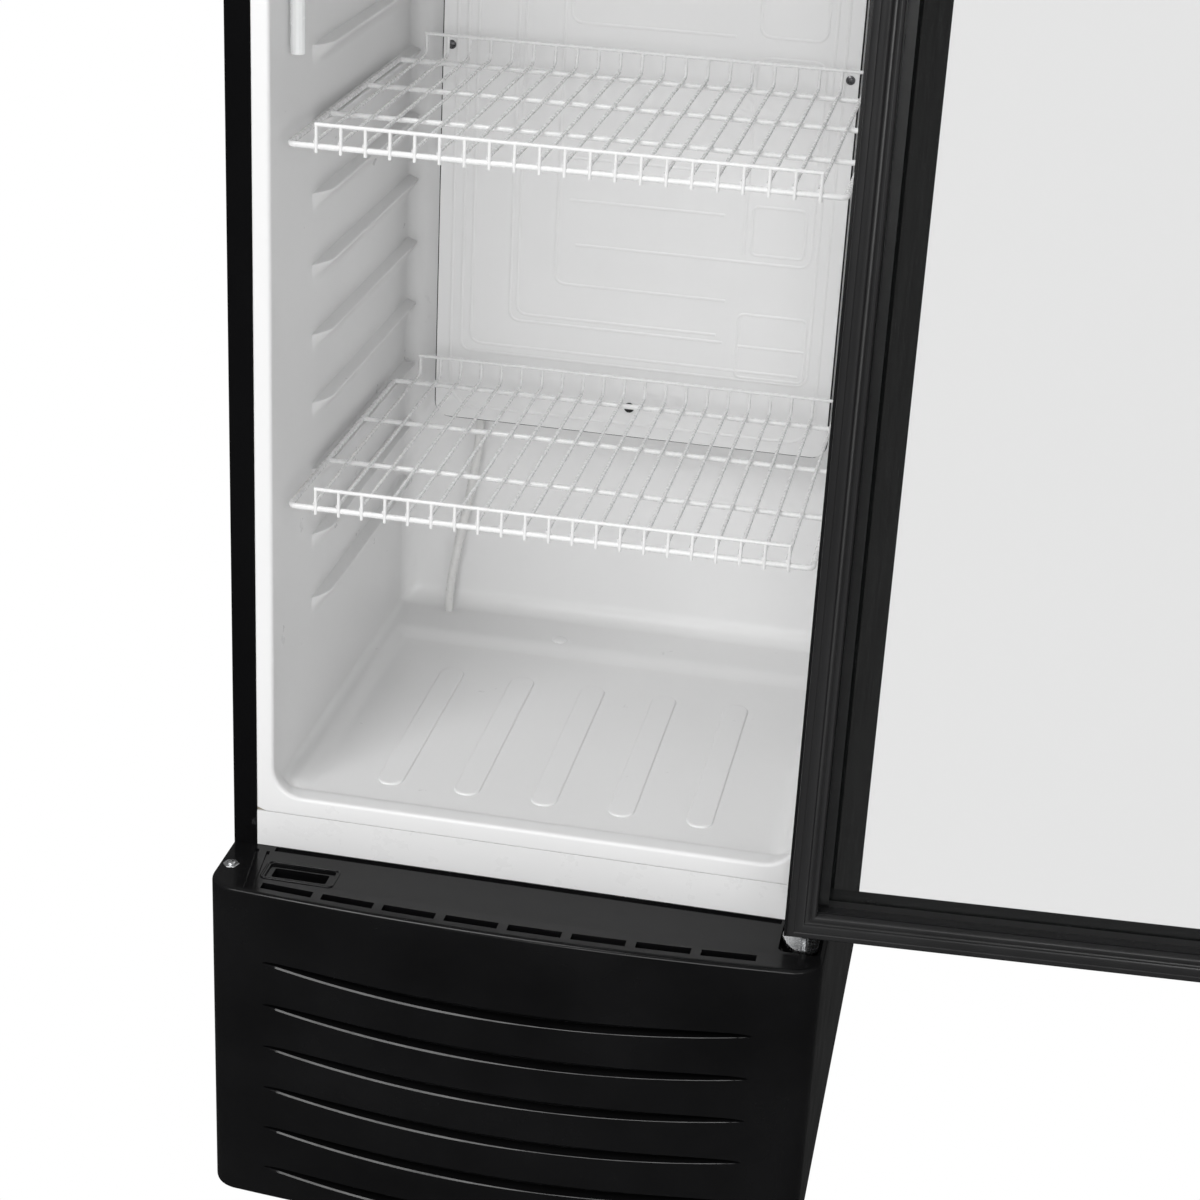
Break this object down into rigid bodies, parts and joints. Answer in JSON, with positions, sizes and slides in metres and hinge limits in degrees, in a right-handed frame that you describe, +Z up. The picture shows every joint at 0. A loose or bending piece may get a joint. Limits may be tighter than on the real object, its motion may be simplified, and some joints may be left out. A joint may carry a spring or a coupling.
{
  "type": "glass door merchandiser",
  "caption": "Upright black display refrigerator with a white lined cabinet, wire shelves, a bowed louvred base grille and a clear glass door swung right open.",
  "frame": {"origin": "bottom centre of the bounding box of the whole object with its door open, at floor level", "axes": "+Z up, -Y towards the customer in front of the cabinet, +X towards the hinge side where the open door stands"},
  "size_m": [1.1958, 0.665, 1.9595],
  "materials": {
    "back_panel": "gloss black baked enamel",
    "base_tray": "gloss black baked enamel",
    "canopy_housing": "gloss black moulding",
    "canopy_lamp": "white diffuser",
    "compressor": "gloss black baked enamel",
    "condensate_pan": "gloss black moulding",
    "condenser_coil": "plain",
    "condenser_fan_blade": "plain",
    "condenser_fan_motor": "gloss black baked enamel",
    "door_bush_bottom": "white satin moulding",
    "door_bush_top": "white satin moulding",
    "door_gasket": "black flexible vinyl or rubber",
    "door_glass_inner": "clear",
    "door_glass_outer": "clear",
    "door_handle": "gloss black moulding",
    "door_lock": "zinc plated",
    "door_rail_bottom": "gloss black moulding",
    "door_rail_top": "gloss black moulding",
    "door_stile_free": "gloss black moulding",
    "door_stile_hinge": "gloss black moulding",
    "drain_grommet": "grey rubber",
    "drain_tube": "translucent vinyl",
    "drip_tray": "white satin moulding",
    "duct_cover": "white satin paint",
    "duct_screw_left": "zinc plated",
    "duct_screw_right": "zinc plated",
    "duct_stud": "black flexible vinyl or rubber",
    "evap_fan_blade": "gloss black moulding",
    "evap_fan_guard": "white coated wire",
    "evap_fan_motor": "gloss black moulding",
    "evaporator_coil": "plain",
    "fan_shroud": "gloss black baked enamel",
    "foam_insulation": "rigid insulating foam",
    "foot_left": "black flexible vinyl or rubber",
    "foot_right": "black flexible vinyl or rubber",
    "front_grille": "gloss black moulding",
    "glass_edge_seal": "black flexible vinyl or rubber",
    "hinge_hole_plug": "zinc plated",
    "hinge_leaf_bottom": "zinc plated",
    "hinge_leaf_top": "zinc plated",
    "inner_liner": "white satin moulding",
    "interior_lamp": "white diffuser",
    "lamp_switch": "gloss black moulding",
    "rear_grille": "gloss black baked enamel",
    "refrigerant_pipe": "bare copper",
    "roller_fork_left": "zinc plated",
    "roller_fork_right": "zinc plated",
    "roller_left": "black flexible vinyl or rubber",
    "roller_right": "black flexible vinyl or rubber",
    "shelf_lower": "white coated wire",
    "shelf_middle": "white coated wire",
    "shelf_upper": "white coated wire",
    "side_panel_left": "gloss black baked enamel",
    "side_panel_right": "gloss black baked enamel",
    "sign_panel": "plain translucent white",
    "sill_strip": "white satin paint",
    "thermostat_box": "white satin moulding",
    "thermostat_knob": "white satin moulding",
    "top_panel": "gloss black baked enamel"
  },
  "bodies": {
    "cabinet": {"back_panel": "back_panel", "base_tray": "base_tray", "canopy_housing": "canopy_housing", "canopy_lamp": "canopy_lamp", "compressor": "compressor", "condensate_pan": "condensate_pan", "condenser_coil": "condenser_coil", "condenser_fan_motor": "condenser_fan_motor", "drain_grommet": "drain_grommet", "drain_tube": "drain_tube", "drip_tray": "drip_tray", "duct_cover": "duct_cover", "duct_screw_left": "duct_screw_left", "duct_screw_right": "duct_screw_right", "duct_stud": "duct_stud", "evap_fan_guard": "evap_fan_guard", "evap_fan_motor": "evap_fan_motor", "evaporator_coil": "evaporator_coil", "fan_shroud": "fan_shroud", "foam_insulation": "foam_insulation", "front_grille": "front_grille", "hinge_hole_plug": "hinge_hole_plug", "hinge_leaf_bottom": "hinge_leaf_bottom", "hinge_leaf_top": "hinge_leaf_top", "inner_liner": "inner_liner", "interior_lamp": "interior_lamp", "rear_grille": "rear_grille", "refrigerant_pipe": "refrigerant_pipe", "roller_fork_left": "roller_fork_left", "roller_fork_right": "roller_fork_right", "side_panel_left": "side_panel_left", "side_panel_right": "side_panel_right", "sign_panel": "sign_panel", "sill_strip": "sill_strip", "thermostat_box": "thermostat_box", "top_panel": "top_panel"},
    "door": {"door_stile_hinge": "door_stile_hinge", "door_stile_free": "door_stile_free", "door_rail_top": "door_rail_top", "door_rail_bottom": "door_rail_bottom", "door_gasket": "door_gasket", "door_glass_inner": "door_glass_inner", "door_glass_outer": "door_glass_outer", "glass_edge_seal": "glass_edge_seal", "door_handle": "door_handle", "door_bush_bottom": "door_bush_bottom", "door_bush_top": "door_bush_top"},
    "lock": {"door_lock": "door_lock"},
    "shelf_1": {"shelf_lower": "shelf_lower"},
    "shelf_2": {"shelf_middle": "shelf_middle"},
    "shelf_3": {"shelf_upper": "shelf_upper"},
    "evap_fan": {"evap_fan_blade": "evap_fan_blade"},
    "condenser_fan": {"condenser_fan_blade": "condenser_fan_blade"},
    "knob": {"thermostat_knob": "thermostat_knob"},
    "switch": {"lamp_switch": "lamp_switch"},
    "foot_l": {"foot_left": "foot_left"},
    "foot_r": {"foot_right": "foot_right"},
    "roller_l": {"roller_left": "roller_left"},
    "roller_r": {"roller_right": "roller_right"}
  },
  "joints": [
    {"name": "door_swing", "type": "hinge", "parent": "cabinet", "child": "door", "pos_m": [0.00114, -0.2675, 0.431], "axis": [0, 0, 1], "range_deg": [-183.5, 0]},
    {"name": "lock_turn", "type": "hinge", "parent": "door", "child": "lock", "pos_m": [0.50147, -0.22488, 0.451], "axis": [0.061, -0.9981, 0], "range_deg": [-90, 0]},
    {"name": "shelf_1_slide", "type": "slide", "parent": "cabinet", "child": "shelf_1", "axis": [0, -1, 0], "range_m": [0, 0.3]},
    {"name": "shelf_2_slide", "type": "slide", "parent": "cabinet", "child": "shelf_2", "axis": [0, -1, 0], "range_m": [0, 0.3]},
    {"name": "shelf_3_slide", "type": "slide", "parent": "cabinet", "child": "shelf_3", "axis": [0, -1, 0], "range_m": [0, 0.3]},
    {"name": "evap_fan_spin", "type": "hinge", "parent": "cabinet", "child": "evap_fan", "pos_m": [-0.28686, 0.2565, 1.64], "axis": [0, 1, 0], "continuous": true},
    {"name": "condenser_fan_spin", "type": "hinge", "parent": "cabinet", "child": "condenser_fan", "pos_m": [-0.38186, -0.1295, 0.2], "axis": [0, 1, 0], "continuous": true},
    {"name": "knob_turn", "type": "hinge", "parent": "cabinet", "child": "knob", "pos_m": [-0.13686, -0.1875, 1.725], "axis": [0, -1, 0], "range_deg": [0, 300]},
    {"name": "switch_rock", "type": "hinge", "parent": "cabinet", "child": "switch", "pos_m": [-0.08686, -0.1898, 1.725], "axis": [1, 0, 0], "range_deg": [-7, 7]},
    {"name": "foot_l_turn", "type": "hinge", "parent": "cabinet", "child": "foot_l", "pos_m": [-0.56186, -0.1875, 0], "axis": [0, 0, 1], "continuous": true},
    {"name": "foot_r_turn", "type": "hinge", "parent": "cabinet", "child": "foot_r", "pos_m": [-0.01186, -0.1875, 0], "axis": [0, 0, 1], "continuous": true},
    {"name": "roller_l_roll", "type": "hinge", "parent": "cabinet", "child": "roller_l", "pos_m": [-0.55686, 0.2725, 0.019], "axis": [1, 0, 0], "continuous": true},
    {"name": "roller_r_roll", "type": "hinge", "parent": "cabinet", "child": "roller_r", "pos_m": [-0.01686, 0.2725, 0.019], "axis": [1, 0, 0], "continuous": true}
  ]
}
